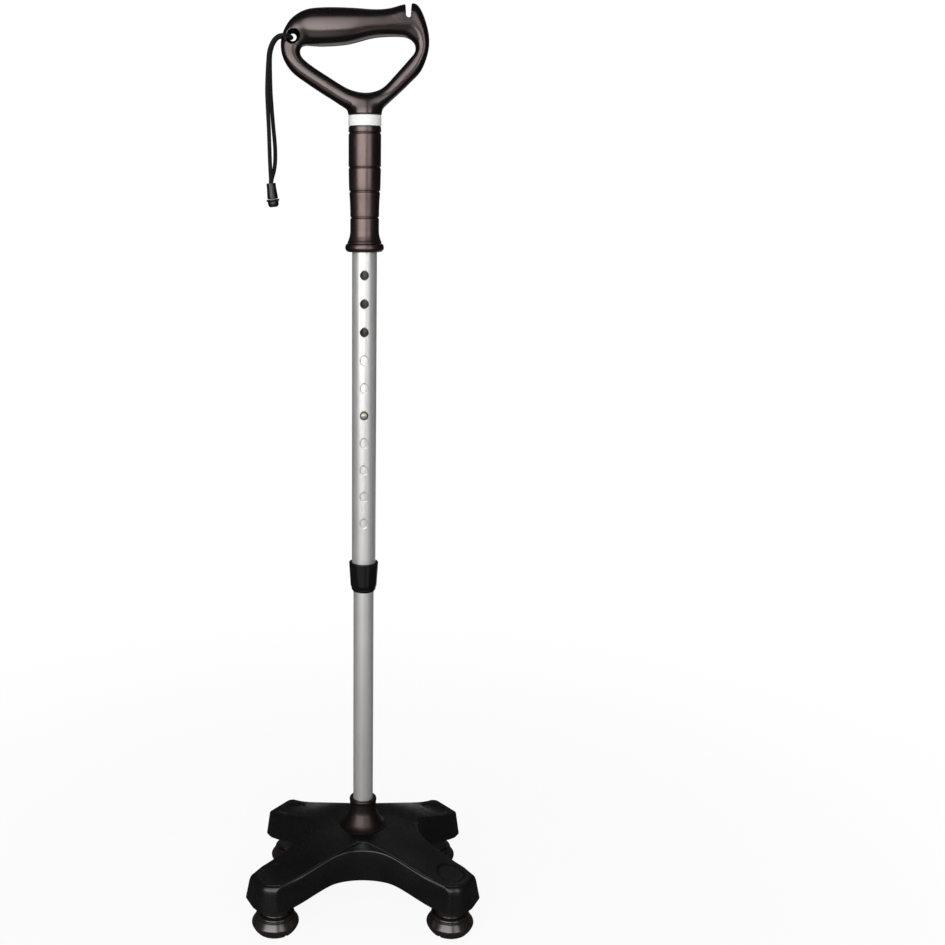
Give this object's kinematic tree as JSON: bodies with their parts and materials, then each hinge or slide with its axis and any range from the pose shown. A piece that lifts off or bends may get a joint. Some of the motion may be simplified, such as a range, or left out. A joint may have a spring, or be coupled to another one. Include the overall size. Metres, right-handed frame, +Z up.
{
  "type": "quad cane",
  "caption": "Telescopic walking cane with a D-shaped handle, a snap-button height setting, a wrist strap and a splayed X-shaped base on rubber feet.",
  "frame": {"origin": "on the floor, under the common axis of the two tubes, which is the middle of the base", "axes": "+Z up along the tubes, +X along the handle towards its notched horn, -Y towards the wider pair of legs"},
  "size_m": [0.2196, 0.1773, 0.834],
  "materials": {
    "handle_bronze": "glossy metallic bronze-brown",
    "sleeve_bronze": "satin metallic bronze-brown",
    "band_white": "satin white",
    "upper_tube": "satin anodised",
    "lower_tube": "satin anodised",
    "collar_black": "glossy black",
    "hub_bronze": "glossy warm black",
    "base_black": "glossy black",
    "foot_rubber": "smooth warm black",
    "nylon_grey": "natural nylon",
    "button_steel": "polished",
    "zinc_steel": "zinc plated",
    "cord_black": "black woven cord",
    "strap_plastic": "gloss black"
  },
  "bodies": {
    "base": {"base_shell": "base_black", "hub_socket": "hub_bronze", "inner_tube": "lower_tube", "inner_tube_guide": "nylon_grey", "button_spring": "zinc_steel", "tube_end_nut": "zinc_steel", "hub_bolt": "zinc_steel", "hub_washer": "zinc_steel", "foot_front_left": "foot_rubber", "foot_front_right": "foot_rubber", "foot_rear_left": "foot_rubber", "foot_rear_right": "foot_rubber", "foot_stud_front_left": "zinc_steel", "foot_stud_front_right": "zinc_steel", "foot_stud_rear_left": "zinc_steel", "foot_stud_rear_right": "zinc_steel", "foot_washer_front_left": "zinc_steel", "foot_washer_front_right": "zinc_steel", "foot_washer_rear_left": "zinc_steel", "foot_washer_rear_right": "zinc_steel"},
    "upper_stick": {"handle_frame": "handle_bronze", "sleeve_grip": "sleeve_bronze", "white_band": "band_white", "handle_pin": "zinc_steel", "outer_tube": "upper_tube", "collar_bush": "nylon_grey", "strap_cord": "cord_black", "strap_bell": "strap_plastic", "strap_plug": "strap_plastic"},
    "locking_ring": {"lock_collar": "collar_black"},
    "button": {"snap_button": "button_steel"}
  },
  "joints": [
    {"name": "height_slide", "type": "slide", "parent": "base", "child": "upper_stick", "axis": [0, 0, 1], "range_m": [-0.125, 0.1], "deforming": ["snap_button"]},
    {"name": "collar_turn", "type": "hinge", "parent": "upper_stick", "child": "locking_ring", "pos_m": [0, 0, 0.328], "axis": [0, 0, 1], "range_deg": [0, 120]},
    {"name": "button_press", "type": "slide", "parent": "base", "child": "button", "axis": [0, 1, 0], "range_m": [0, 0.003], "stiffness_N_per_m": 2000, "springref_m": -0.001, "deforming": ["button_spring"]}
  ]
}
